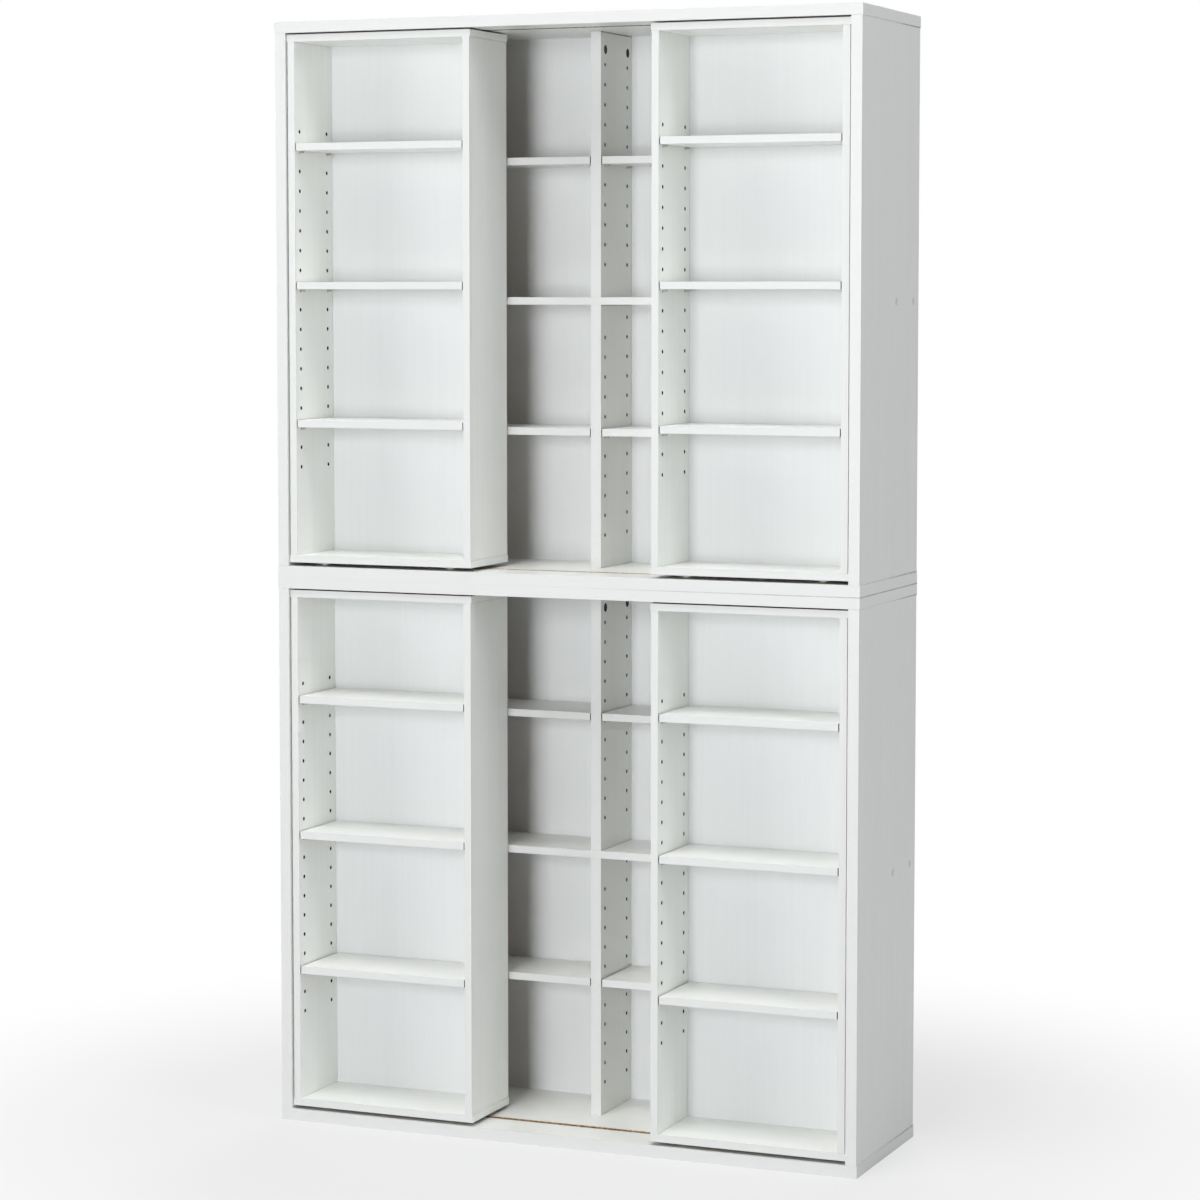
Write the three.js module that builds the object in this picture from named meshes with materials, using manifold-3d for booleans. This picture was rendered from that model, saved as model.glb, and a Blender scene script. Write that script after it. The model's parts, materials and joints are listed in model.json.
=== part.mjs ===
import * as THREE from "three";
import { mergeVertices } from "three/addons/utils/BufferGeometryUtils.js";
import Module from "manifold-3d";

// A bookcase of two equal units, one standing on the other.
// Behind, each unit has fixed bays with a partition; in front of them two narrow racks slide sideways.
// Millimetres, +Z up, the front faces -Y, the origin is the middle of the underside.

// Case of one unit
const UNIT_WIDTH = 1000;
const UNIT_DEPTH = 290;
const UNIT_HEIGHT = 900;
const TOP_BOARD = 18;
const BASE_BOARD = 19;
const SIDE_BOARD = 18;
const CASE_OVERHANG = 1;
const PARTITION_BOARD = 18;
const FIXED_SHELF_BOARD = 12;
const PARTITION_TOP_PLAY = 0.4;
const REAR_LAYER_PLAY = 4.2;

// Thin back panels in grooves
const BACK_PANEL = 3;
const PANEL_GROOVE_DEPTH = 5;
const PANEL_EDGE_PLAY = 0.5;
const CASE_BACK_LIP = 4.5;
const RACK_BACK_LIP = 8;

// Sliding rack
const RACK_WIDTH = 326;
const RACK_DEPTH = 143.5;
const RACK_BOARD = 12;
const RACK_OVERHANG = 1.5;
const RACK_SETBACK = 4;
const RACK_END_PLAY = 1;
const RACK_LIFT = 5.5;
const RACK_TOP_PLAY = 2.2;

// Adjustable shelves on pins
const SHELF_BOARD = 12;
const SHELF_END_PLAY = 1.5;
const SHELF_BACK_PLAY = 1;
const SHELF_SETBACK = 1;
const SHELF_ABOVE_PIN_AXIS = 1;
const PIN_DIAMETER = 5;
const PIN_IN_BOARD = 7;
const PIN_UNDER_SHELF = 8;
const PIN_PLAY = 0.3;
const RACK_SHELF_HOLE_SHARES = [16 / 17, 9 / 17, 2 / 17];
const REAR_SHELF_HOLE_SHARE = 1 / 2;

// Pin holes in columns
const HOLE_PITCH = 32;
const HOLE_DEPTH = 8;
const HOLE_FRONT_MARGIN = 17;
const HOLE_BACK_MARGIN = 20;
const RACK_HOLE_MARGIN = 150;
const REAR_HOLE_MARGIN = 40;
const HOLE_SIDES = 6;

// Bores of the fittings that hold the upper partition to the top board
const FITTING_DIAMETER = 15;
const FITTING_DEPTH = 12.5;
const FITTING_DROP = 28.5;
const FITTING_FRONT_MARGIN = 20;
const FITTING_BACK_MARGIN = 17;
const FITTING_SIDES = 12;

// Guides of the racks: a groove below and one above, a glide frame and two pins
const GROOVE_WIDTH = 9;
const GROOVE_DEPTH = 8;
const GROOVE_SETBACK = 75;
const GUIDE_SIDE_PLAY = 0.5;
const GUIDE_END_PLAY = 3;
const GUIDE_PIN_SIDES = 10;
const GLIDE_PLATE = 2.5;
const GLIDE_BAR_WIDTH = 24;
const GLIDE_FOOT_SPACING = 226;
const GLIDE_FOOT_TRACK = 78;
const GLIDE_FOOT_LENGTH = 12;
const GLIDE_FOOT_WIDTH = 10;
const GLIDE_RUNNING_GAP = 0.3;
const GLIDE_KEEL_MARGIN = 20;
const FOOT_CURVE_STEPS = 3;
const CUT_OVERRUN = 2;

// Planes of a unit, from its underside, its middle and its front
const sideOuter = UNIT_WIDTH / 2 - CASE_OVERHANG;
const sideInner = sideOuter - SIDE_BOARD;
const baseTop = BASE_BOARD;
const topUnderside = UNIT_HEIGHT - TOP_BOARD;
const fixedShelfTop = (baseTop + topUnderside + FIXED_SHELF_BOARD) / 2;
const fixedShelfUnderside = fixedShelfTop - FIXED_SHELF_BOARD;
const partitionFace = PARTITION_BOARD / 2;
const rearLayerFront = RACK_SETBACK + RACK_DEPTH + REAR_LAYER_PLAY;
const casePanelBack = UNIT_DEPTH - CASE_BACK_LIP;
const casePanelFront = casePanelBack - BACK_PANEL;

// Planes of a rack, from its underside, its middle and its front
const rackHeight = topUnderside - RACK_TOP_PLAY - baseTop - RACK_LIFT;
const rackSideOuter = RACK_WIDTH / 2 - RACK_OVERHANG;
const rackSideInner = rackSideOuter - RACK_BOARD;
const rackTopUnderside = rackHeight - RACK_BOARD;
const rackPanelBack = RACK_DEPTH - RACK_BACK_LIP;
const rackPanelFront = rackPanelBack - BACK_PANEL;
const rackCentre = sideInner - RACK_END_PLAY - RACK_WIDTH / 2;
const grooveInRack = GROOVE_SETBACK - RACK_SETBACK;

// Finishes
const melamine = { color: "#eceeee", roughness: 0.45, metalness: 0 };
const panelBoard = { color: "#e6e9ec", roughness: 0.5, metalness: 0 };
const nylon = { color: "#dcdcd6", roughness: 0.4, metalness: 0 };

const wasm = await Module();
wasm.setup();

// A closed geometry as a solid that can be joined and cut.
function solidOf(geometry) {
  const bare = geometry.clone();
  bare.deleteAttribute("normal");
  bare.deleteAttribute("uv");
  const merged = mergeVertices(bare);
  return new wasm.Manifold(
    new wasm.Mesh({
      numProp: 3,
      vertProperties: merged.attributes.position.array,
      triVerts: new Uint32Array(merged.index.array),
    }),
  );
}

// A block between two opposite corners, each [x, y, z].
function block(low, high) {
  const geometry = new THREE.BoxGeometry(1, 1, 1);
  const points = geometry.attributes.position;
  for (let i = 0; i < points.count; i++) {
    points.setXYZ(
      i,
      points.getX(i) < 0 ? low[0] : high[0],
      points.getY(i) < 0 ? low[1] : high[1],
      points.getZ(i) < 0 ? low[2] : high[2],
    );
  }
  return solidOf(geometry);
}

// A many-sided prism along Z from zero, a pin or a bore, with a flat facet facing +X.
function prism(diameter, sides, length) {
  const corners = Array.from({ length: sides }, (_, i) => {
    const turn = ((i + 1 / 2) * 2 * Math.PI) / sides;
    return new THREE.Vector2(Math.cos(turn), Math.sin(turn)).multiplyScalar(diameter / 2);
  });
  return new THREE.ExtrudeGeometry(new THREE.Shape(corners), { depth: length, bevelEnabled: false });
}

// A pin or bore along X from x0 to x1, its flat facet on top.
function barAlongX(diameter, sides, x0, x1, y, z) {
  const geometry = prism(diameter, sides, x1 - x0);
  geometry.rotateY(Math.PI / 2);
  geometry.translate(x0, y, z);
  return solidOf(geometry);
}

// A pin along Z from z0 to z1.
function barAlongZ(diameter, sides, x, y, z0, z1) {
  const geometry = prism(diameter, sides, z1 - z0);
  geometry.translate(x, y, z0);
  return solidOf(geometry);
}

function joined(solids) {
  return solids.reduce((sum, next) => sum.add(next));
}

function cutBy(solid, cutters) {
  return cutters.length ? solid.subtract(joined(cutters)) : solid;
}

// The solid as a named mesh.
function piece(name, solid, finish) {
  const { vertProperties, triVerts } = solid.getMesh();
  const geometry = new THREE.BufferGeometry();
  geometry.setAttribute("position", new THREE.BufferAttribute(vertProperties, 3));
  geometry.setIndex(new THREE.BufferAttribute(triVerts, 1));
  const flat = geometry.toNonIndexed();
  flat.computeVertexNormals();
  const mesh = new THREE.Mesh(flat, new THREE.MeshStandardMaterial(finish));
  mesh.name = name;
  return mesh;
}

// Heights of the pin holes that fit between two planes, from the lowest, centred between them.
function holeHeights(floor, ceiling, margin) {
  const count = Math.floor((ceiling - floor - 2 * margin) / HOLE_PITCH) + 1;
  const first = (floor + ceiling - (count - 1) * HOLE_PITCH) / 2;
  return Array.from({ length: count }, (_, i) => first + i * HOLE_PITCH);
}

function heightAtShare(heights, share) {
  return heights[Math.round(share * (heights.length - 1))];
}

const rackHoles = holeHeights(0, rackHeight, RACK_HOLE_MARGIN);
const lowerHoles = holeHeights(baseTop, fixedShelfUnderside, REAR_HOLE_MARGIN);
const upperHoles = holeHeights(fixedShelfTop, topUnderside, REAR_HOLE_MARGIN);

// A layer of bays: where it starts behind the front, and where its back panel's face is
const rackLayer = { front: 0, back: rackPanelFront };
const rearLayer = { front: rearLayerFront, back: casePanelFront };

function holeColumns(layer) {
  return [layer.front + HOLE_FRONT_MARGIN, layer.back - HOLE_BACK_MARGIN];
}

// Bores of the pin holes from x0 to x1, in a front and a rear column.
function pinBores(layer, heights, x0, x1) {
  return holeColumns(layer).flatMap((y) =>
    heights.map((z) => barAlongX(PIN_DIAMETER + 2 * PIN_PLAY, HOLE_SIDES, x0, x1, y, z)),
  );
}

// The same bores sunk into the inner face of a side board; side is -1 on the left and 1 on the right.
function sunkBores(layer, heights, side, face) {
  const ends = [side * (face - CUT_OVERRUN), side * (face + HOLE_DEPTH)];
  return pinBores(layer, heights, Math.min(...ends), Math.max(...ends));
}

// Four pins under the ends of a shelf that lies between the boards at xLeft and xRight.
function shelfPins(layer, height, xLeft, xRight) {
  return holeColumns(layer).flatMap((y) => [
    barAlongX(PIN_DIAMETER, HOLE_SIDES, xLeft - PIN_IN_BOARD, xLeft + PIN_UNDER_SHELF, y, height),
    barAlongX(PIN_DIAMETER, HOLE_SIDES, xRight - PIN_UNDER_SHELF, xRight + PIN_IN_BOARD, y, height),
  ]);
}

// A loose shelf on its pins between the boards at xLeft and xRight.
function pinnedShelf(layer, height, xLeft, xRight) {
  const underside = height + SHELF_ABOVE_PIN_AXIS;
  const board = block(
    [xLeft + SHELF_END_PLAY, layer.front + SHELF_SETBACK, underside],
    [xRight - SHELF_END_PLAY, layer.back - SHELF_BACK_PLAY, underside + SHELF_BOARD],
  );
  return joined([board, ...shelfPins(layer, height, xLeft, xRight)]);
}

// The space that a back panel's groove takes, as one block reaching into all four boards.
function panelGroove(xInner, zLow, zHigh, yFront, yBack) {
  return block(
    [-xInner - PANEL_GROOVE_DEPTH, yFront, zLow - PANEL_GROOVE_DEPTH],
    [xInner + PANEL_GROOVE_DEPTH, yBack, zHigh + PANEL_GROOVE_DEPTH],
  );
}

function backPanel(xInner, zLow, zHigh, yFront, yBack) {
  const reach = PANEL_GROOVE_DEPTH - PANEL_EDGE_PLAY;
  return block(
    [-xInner - reach, yFront, zLow - reach],
    [xInner + reach, yBack, zHigh + reach],
  );
}

// The boards of one fixed case
function casePieces(unit) {
  const panelSlot = panelGroove(sideInner, baseTop, topUnderside, casePanelFront, casePanelBack);
  const grooveFront = GROOVE_SETBACK - GROOVE_WIDTH / 2;
  const grooveBack = GROOVE_SETBACK + GROOVE_WIDTH / 2;

  const topBoard = cutBy(
    block([-UNIT_WIDTH / 2, 0, topUnderside], [UNIT_WIDTH / 2, UNIT_DEPTH, UNIT_HEIGHT]),
    [
      panelSlot,
      block(
        [-sideInner, grooveFront, topUnderside - CUT_OVERRUN],
        [sideInner, grooveBack, topUnderside + GROOVE_DEPTH],
      ),
    ],
  );
  const baseBoard = cutBy(
    block([-UNIT_WIDTH / 2, 0, 0], [UNIT_WIDTH / 2, UNIT_DEPTH, baseTop]),
    [
      panelSlot,
      block(
        [-sideInner, grooveFront, baseTop - GROOVE_DEPTH],
        [sideInner, grooveBack, baseTop + CUT_OVERRUN],
      ),
    ],
  );

  const sideBoard = (side) => {
    const xs = [side * sideInner, side * sideOuter];
    return cutBy(
      block([Math.min(...xs), 0, baseTop], [Math.max(...xs), UNIT_DEPTH, topUnderside]),
      [panelSlot, ...sunkBores(rearLayer, [...lowerHoles, ...upperHoles], side, sideInner)],
    );
  };

  const fixedShelf = block(
    [-sideInner, rearLayerFront, fixedShelfUnderside],
    [sideInner, casePanelFront, fixedShelfTop],
  );

  return [
    piece(unit + "_case_top_board", topBoard, melamine),
    piece(unit + "_case_base_board", baseBoard, melamine),
    piece(unit + "_case_left_side", sideBoard(-1), melamine),
    piece(unit + "_case_right_side", sideBoard(1), melamine),
    piece(
      unit + "_case_back_panel",
      backPanel(sideInner, baseTop, topUnderside, casePanelFront, casePanelBack),
      panelBoard,
    ),
    piece(unit + "_case_fixed_shelf", fixedShelf, melamine),
    piece(unit + "_case_partition_above", partitionAbove(), melamine),
    piece(unit + "_case_partition_below", partitionBelow(), melamine),
  ];
}

function partitionBoard(zLow, zHigh) {
  return block([-partitionFace, rearLayerFront, zLow], [partitionFace, casePanelFront, zHigh]);
}

// Pin holes through a partition serve the shelves on both of its sides.
function throughBores(heights) {
  const ends = partitionFace + CUT_OVERRUN;
  return pinBores(rearLayer, heights, -ends, ends);
}

function partitionAbove() {
  const columns = [rearLayerFront + FITTING_FRONT_MARGIN, casePanelFront - FITTING_BACK_MARGIN];
  const fittingBores = columns.map((y) =>
    barAlongX(
      FITTING_DIAMETER,
      FITTING_SIDES,
      partitionFace - FITTING_DEPTH,
      partitionFace + CUT_OVERRUN,
      y,
      topUnderside - FITTING_DROP,
    ),
  );
  return cutBy(partitionBoard(fixedShelfTop, topUnderside - PARTITION_TOP_PLAY), [
    ...throughBores(upperHoles),
    ...fittingBores,
  ]);
}

// The lower partition has one more hole at the top of its rear column.
function partitionBelow() {
  const spareHole = barAlongX(
    PIN_DIAMETER + 2 * PIN_PLAY,
    HOLE_SIDES,
    -partitionFace - CUT_OVERRUN,
    partitionFace + CUT_OVERRUN,
    casePanelFront - HOLE_BACK_MARGIN,
    lowerHoles.at(-1) + HOLE_PITCH,
  );
  return cutBy(partitionBoard(baseTop, fixedShelfUnderside), [
    ...throughBores(lowerHoles),
    spareHole,
  ]);
}

// The four loose shelves behind: left and right of the partition, above and below the fixed shelf
function rearShelves(unit) {
  const bays = [
    ["left", -sideInner, -partitionFace],
    ["right", partitionFace, sideInner],
  ];
  const halves = [
    ["above", upperHoles],
    ["below", lowerHoles],
  ];
  return bays.flatMap(([bay, xLeft, xRight]) =>
    halves.map(([half, heights]) => {
      const height = heightAtShare(heights, REAR_SHELF_HOLE_SHARE);
      const shelf = pinnedShelf(rearLayer, height, xLeft, xRight);
      return piece(unit + "_rear_shelf_" + bay + "_" + half, shelf, melamine);
    }),
  );
}

// The nylon frame under a rack: four feet on the base board and a keel in its groove
function glideFrame() {
  const plateUnderside = -GLIDE_PLATE;
  const footEnd = -RACK_LIFT + GLIDE_RUNNING_GAP;
  const keelWidth = GROOVE_WIDTH - 2 * GUIDE_SIDE_PLAY;
  const keelHalfLength = GLIDE_FOOT_SPACING / 2 + GLIDE_BAR_WIDTH / 2 - GLIDE_KEEL_MARGIN;
  const armReach = GLIDE_FOOT_TRACK / 2 + GLIDE_BAR_WIDTH / 2;
  const halfLength = GLIDE_FOOT_SPACING / 2 + GLIDE_BAR_WIDTH / 2;

  const spine = block(
    [-halfLength, grooveInRack - GLIDE_BAR_WIDTH / 2, plateUnderside],
    [halfLength, grooveInRack + GLIDE_BAR_WIDTH / 2, 0],
  );
  const keel = block(
    [-keelHalfLength, grooveInRack - keelWidth / 2, footEnd - GROOVE_DEPTH + GLIDE_RUNNING_GAP],
    [keelHalfLength, grooveInRack + keelWidth / 2, plateUnderside / 2],
  );
  const arms = [-1, 1].map((end) =>
    block(
      [(end * GLIDE_FOOT_SPACING - GLIDE_BAR_WIDTH) / 2, grooveInRack - armReach, plateUnderside],
      [(end * GLIDE_FOOT_SPACING + GLIDE_BAR_WIDTH) / 2, grooveInRack + armReach, 0],
    ),
  );
  const feet = [-1, 1].flatMap((end) =>
    [-1, 1].map((row) =>
      glideFoot((end * GLIDE_FOOT_SPACING) / 2, grooveInRack + (row * GLIDE_FOOT_TRACK) / 2, footEnd),
    ),
  );
  return joined([spine, keel, ...arms, ...feet]);
}

// A foot with a rounded sole, as a skid that runs along X.
function glideFoot(x, y, sole) {
  const height = -GLIDE_PLATE / 2 - sole;
  const outline = new THREE.Shape();
  outline.moveTo(-GLIDE_FOOT_LENGTH / 2, height);
  outline.quadraticCurveTo(-GLIDE_FOOT_LENGTH / 2, 0, 0, 0);
  outline.quadraticCurveTo(GLIDE_FOOT_LENGTH / 2, 0, GLIDE_FOOT_LENGTH / 2, height);
  outline.closePath();
  const geometry = new THREE.ExtrudeGeometry(outline, {
    depth: GLIDE_FOOT_WIDTH,
    bevelEnabled: false,
    curveSegments: FOOT_CURVE_STEPS,
  });
  geometry.rotateX(Math.PI / 2);
  geometry.translate(x, y + GLIDE_FOOT_WIDTH / 2, sole);
  return solidOf(geometry);
}

// The pieces of one sliding rack, about the middle of its front edge
function rackPieces(rack) {
  const panelSlot = panelGroove(rackSideInner, RACK_BOARD, rackTopUnderside, rackPanelFront, rackPanelBack);
  const pinDiameter = GROOVE_WIDTH - 2 * GUIDE_SIDE_PLAY;
  const guidePins = [-1, 1].map((end) =>
    barAlongZ(
      pinDiameter,
      GUIDE_PIN_SIDES,
      (end * GLIDE_FOOT_SPACING) / 2,
      grooveInRack,
      rackTopUnderside + RACK_BOARD / 2,
      rackHeight + RACK_TOP_PLAY + GROOVE_DEPTH - GUIDE_END_PLAY,
    ),
  );
  const topBoard = cutBy(
    block([-RACK_WIDTH / 2, 0, rackTopUnderside], [RACK_WIDTH / 2, RACK_DEPTH, rackHeight]),
    [panelSlot],
  );
  const baseBoard = cutBy(
    block([-RACK_WIDTH / 2, 0, 0], [RACK_WIDTH / 2, RACK_DEPTH, RACK_BOARD]),
    [panelSlot],
  );
  const sideBoard = (side) => {
    const xs = [side * rackSideInner, side * rackSideOuter];
    return cutBy(
      block([Math.min(...xs), 0, RACK_BOARD], [Math.max(...xs), RACK_DEPTH, rackTopUnderside]),
      [panelSlot, ...sunkBores(rackLayer, rackHoles, side, rackSideInner)],
    );
  };
  const shelves = RACK_SHELF_HOLE_SHARES.map((share, i) =>
    piece(
      rack + "_shelf_" + (i + 1),
      pinnedShelf(rackLayer, heightAtShare(rackHoles, share), -rackSideInner, rackSideInner),
      melamine,
    ),
  );
  return [
    piece(rack + "_top_board", joined([topBoard, ...guidePins]), melamine),
    piece(rack + "_base_board", baseBoard, melamine),
    piece(rack + "_left_side", sideBoard(-1), melamine),
    piece(rack + "_right_side", sideBoard(1), melamine),
    piece(
      rack + "_back_panel",
      backPanel(rackSideInner, RACK_BOARD, rackTopUnderside, rackPanelFront, rackPanelBack),
      panelBoard,
    ),
    ...shelves,
    piece(rack + "_glide_frame", glideFrame(), nylon),
  ];
}

// A rack in its unit, at the left or the right end
function slidingRack(unit, place, side) {
  const group = new THREE.Group();
  group.position.set(side * rackCentre, RACK_SETBACK, baseTop + RACK_LIFT);
  group.add(...rackPieces(unit + "_" + place + "_rack"));
  return group;
}

function bookcaseUnit(unit, level) {
  const group = new THREE.Group();
  group.position.set(0, -UNIT_DEPTH / 2, level * UNIT_HEIGHT);
  group.add(
    ...casePieces(unit),
    ...rearShelves(unit),
    slidingRack(unit, "left", -1),
    slidingRack(unit, "right", 1),
  );
  return group;
}

const bookcase = new THREE.Group();
bookcase.add(bookcaseUnit("lower", 0), bookcaseUnit("upper", 1));

export default bookcase;
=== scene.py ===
# %% [markdown]
# # A sliding double bookcase
#
# Two equal white units stand one on the other. Each unit is a fixed case with a rear
# layer of shelves, and two narrow racks slide left and right in front of that layer.
# The shapes come from a CAD model, so this lesson is about finish: the printed white
# board, the raw edges that a drill and a saw leave, the pins, caps and screws, and the
# soft light of a studio. All sizes are in metres.

# %% Load the frame
import json
import math

import bmesh
import bpy
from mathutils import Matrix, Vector

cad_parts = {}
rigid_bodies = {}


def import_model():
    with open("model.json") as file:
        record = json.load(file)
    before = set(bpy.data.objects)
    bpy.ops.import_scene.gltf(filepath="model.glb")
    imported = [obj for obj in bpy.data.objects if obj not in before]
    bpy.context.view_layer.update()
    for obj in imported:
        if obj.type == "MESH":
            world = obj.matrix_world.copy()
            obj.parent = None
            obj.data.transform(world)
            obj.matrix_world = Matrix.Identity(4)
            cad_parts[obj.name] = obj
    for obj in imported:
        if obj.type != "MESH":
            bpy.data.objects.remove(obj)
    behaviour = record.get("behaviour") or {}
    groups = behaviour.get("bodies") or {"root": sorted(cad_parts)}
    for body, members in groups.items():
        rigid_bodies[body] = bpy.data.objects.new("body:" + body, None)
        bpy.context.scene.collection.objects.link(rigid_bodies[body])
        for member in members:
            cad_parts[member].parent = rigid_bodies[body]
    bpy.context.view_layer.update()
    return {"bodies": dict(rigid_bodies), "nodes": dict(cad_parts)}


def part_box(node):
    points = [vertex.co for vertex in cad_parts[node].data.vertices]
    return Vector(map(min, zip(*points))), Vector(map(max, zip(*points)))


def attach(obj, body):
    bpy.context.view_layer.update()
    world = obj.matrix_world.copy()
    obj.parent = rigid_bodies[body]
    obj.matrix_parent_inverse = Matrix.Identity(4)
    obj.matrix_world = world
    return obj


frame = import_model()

# %% [markdown]
# ## The camera first
#
# A piece of furniture is photographed from a few metres away with a long lens, so that
# its boards stay nearly parallel. The place and the two angles below were worked out
# from the corners of the boards. A small downward tilt and a small lens shift share the
# framing between them: the shift is kept small, because every other view keeps it too.

# %% Camera
IMAGE_SIDE = 1200
CAMERA_PLACE = Vector((2.1430, -5.1002, 1.3684))
TURN_LEFT = 0.3961
TILT = -0.0741
FOCAL_PIXELS = 3429.6
CENTRE_ROW = 544.5
SEES_UP_TO = 100.0


def looking(turn, tilt):
    """The direction in which the camera looks."""
    return Vector(
        (-math.sin(turn) * math.cos(tilt), math.cos(turn) * math.cos(tilt), math.sin(tilt))
    )


camera = bpy.data.objects.new("camera", bpy.data.cameras.new("camera"))
bpy.context.scene.collection.objects.link(camera)
camera.location = CAMERA_PLACE
camera.rotation_mode = "QUATERNION"
camera.rotation_quaternion = looking(TURN_LEFT, TILT).to_track_quat("-Z", "Y")
camera.data.lens = FOCAL_PIXELS * camera.data.sensor_width / IMAGE_SIDE
camera.data.shift_y = (CENTRE_ROW - IMAGE_SIDE / 2) / IMAGE_SIDE
camera.data.clip_end = SEES_UP_TO
bpy.context.scene.camera = camera
bpy.context.scene.view_settings.view_transform = "Standard"
print("lens", round(camera.data.lens, 2), "mm, shift", round(camera.data.shift_y, 4))

# %% [markdown]
# ## Small helpers for nodes
#
# Every finish here is a graph of nodes. One helper adds a node, sets its options and
# joins its inputs, so that each later cell reads like a recipe. Colours are written as
# a painter reads them, from 0 to 255, and turned into the linear light that the
# renderer works with.


# %% Node helpers
FLOAT, VECTOR, COLOUR = "NodeSocketFloat", "NodeSocketVector", "NodeSocketColor"


def linear(channel):
    """A channel from 0 to 255 as linear light."""
    share = channel / 255
    return share / 12.92 if share <= 0.04045 else ((share + 0.055) / 1.055) ** 2.4


def paint(red, green, blue):
    return (linear(red), linear(green), linear(blue), 1.0)


def feed(tree, socket, value):
    """Joins a socket to this input, or sets a plain value on it."""
    if isinstance(value, bpy.types.NodeSocket):
        tree.links.new(value, socket)
    else:
        socket.default_value = value


def add(tree, kind, inputs=None, **settings):
    """A new node. Each input is a value to set or a socket to join."""
    node = tree.nodes.new(kind)
    for key, value in settings.items():
        setattr(node, key, value)
    for key, value in (inputs or {}).items():
        feed(tree, node.inputs[key], value)
    return node


def maths(tree, operation, first, second=0.0, clamp=False):
    inputs = {0: first} if operation == "ABSOLUTE" else {0: first, 1: second}
    return add(tree, "ShaderNodeMath", inputs, operation=operation, use_clamp=clamp).outputs[0]


def times(tree, first, *others):
    for other in others:
        first = maths(tree, "MULTIPLY", first, other)
    return first


def most(tree, first, *others):
    for other in others:
        first = maths(tree, "MAXIMUM", first, other)
    return first


def vector_maths(tree, operation, first, second=None):
    inputs = {0: first} if second is None else {0: first, 1: second}
    return add(tree, "ShaderNodeVectorMath", inputs, operation=operation).outputs[0]


def split(tree, vector):
    """The X, Y and Z of a vector."""
    return add(tree, "ShaderNodeSeparateXYZ", {0: vector}).outputs


def ramp(tree, value, start, end, low=0.0, high=1.0):
    """The value's way from start to end, as a smooth step from low to high."""
    inputs = {"Value": value, "From Min": start, "From Max": end, "To Min": low, "To Max": high}
    node = add(tree, "ShaderNodeMapRange", inputs, interpolation_type="SMOOTHSTEP")
    return node.outputs["Result"]


def noise(tree, place, scale, detail, roughness=0.5):
    """A cloudy pattern. The scale is roughly the number of clouds in a metre."""
    inputs = {"Vector": place, "Scale": scale, "Detail": detail, "Roughness": roughness}
    return add(tree, "ShaderNodeTexNoise", inputs).outputs[0]


def patches(tree, place, start, end, low=0.0, high=1.0, **pattern):
    """Noise with sharper edges: low where it is under start, high where it is over end."""
    return ramp(tree, noise(tree, place, **pattern), start, end, low, high)


def blend(tree, share, first, second):
    """Colour first where share is 0, second where it is 1."""
    node = add(tree, "ShaderNodeMix", data_type="RGBA")
    for key, value in (("Factor_Float", share), ("A_Color", first), ("B_Color", second)):
        feed(tree, next(s for s in node.inputs if s.identifier == key), value)
    return next(s for s in node.outputs if s.identifier == "Result_Color")


def new_group(name, takes, gives):
    """An empty shader group with these inputs (name, kind, value) and outputs (name, kind)."""
    tree = bpy.data.node_groups.new(name, "ShaderNodeTree")
    for socket_name, kind, value in takes:
        made = tree.interface.new_socket(name=socket_name, in_out="INPUT", socket_type=kind)
        if value is not None:
            made.default_value = value
    for socket_name, kind in gives:
        tree.interface.new_socket(name=socket_name, in_out="OUTPUT", socket_type=kind)
    return tree, add(tree, "NodeGroupInput").outputs, add(tree, "NodeGroupOutput").inputs


def from_group(tree, group, **inputs):
    """What a shared group gives in another tree. Underscores stand for spaces in the names."""
    spaced = {key.replace("_", " "): value for key, value in inputs.items()}
    return add(tree, "ShaderNodeGroup", spaced, node_tree=group).outputs


print("helpers ready")

# %% [markdown]
# ## Where a point lies on its board
#
# A board is a box. The distance from a point to the nearest of its six faces tells
# whether the point is on the skin or inside a hole or a groove, and the second nearest
# face tells how far the point is from an edge line. One group measures both, from the
# board's two corners, and every board's finish reads it.


# %% Group: place on the board
def place_on_board():
    takes = [("Place", VECTOR, None), ("Low corner", VECTOR, None), ("High corner", VECTOR, None)]
    gives = [("Depth", FLOAT), ("To edge line", FLOAT)]
    tree, given, out = new_group("Place on the board", takes, gives)
    above = vector_maths(tree, "SUBTRACT", given["Place"], given["Low corner"])
    below = vector_maths(tree, "SUBTRACT", given["High corner"], given["Place"])
    x, y, z = split(tree, vector_maths(tree, "MINIMUM", above, below))
    least_xy = maths(tree, "MINIMUM", x, y)
    most_xy = maths(tree, "MAXIMUM", x, y)
    tree.links.new(maths(tree, "MINIMUM", least_xy, z), out["Depth"])
    second = maths(tree, "MAXIMUM", least_xy, maths(tree, "MINIMUM", most_xy, z))
    tree.links.new(second, out["To edge line"])
    return tree


PLACE_ON_BOARD = place_on_board()
print("group:", PLACE_ON_BOARD.name)

# %% [markdown]
# ## The wood print
#
# White furniture board is wrapped in resin paper that is printed and pressed with long
# fine pores. Noise that is squeezed across the board and stretched along it gives both:
# a slow change of tone, and short thin lines. The stretch comes from outside, so the same
# group serves boards that lie and boards that stand.


# %% Group: wood print
TONE = dict(scale=1.0, detail=5.0, roughness=0.6, start=0.3, end=0.7)
PORES = dict(scale=5.2, detail=3.0, roughness=0.7, start=0.53, end=0.68)
TONE_RISE = 0.35


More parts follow.
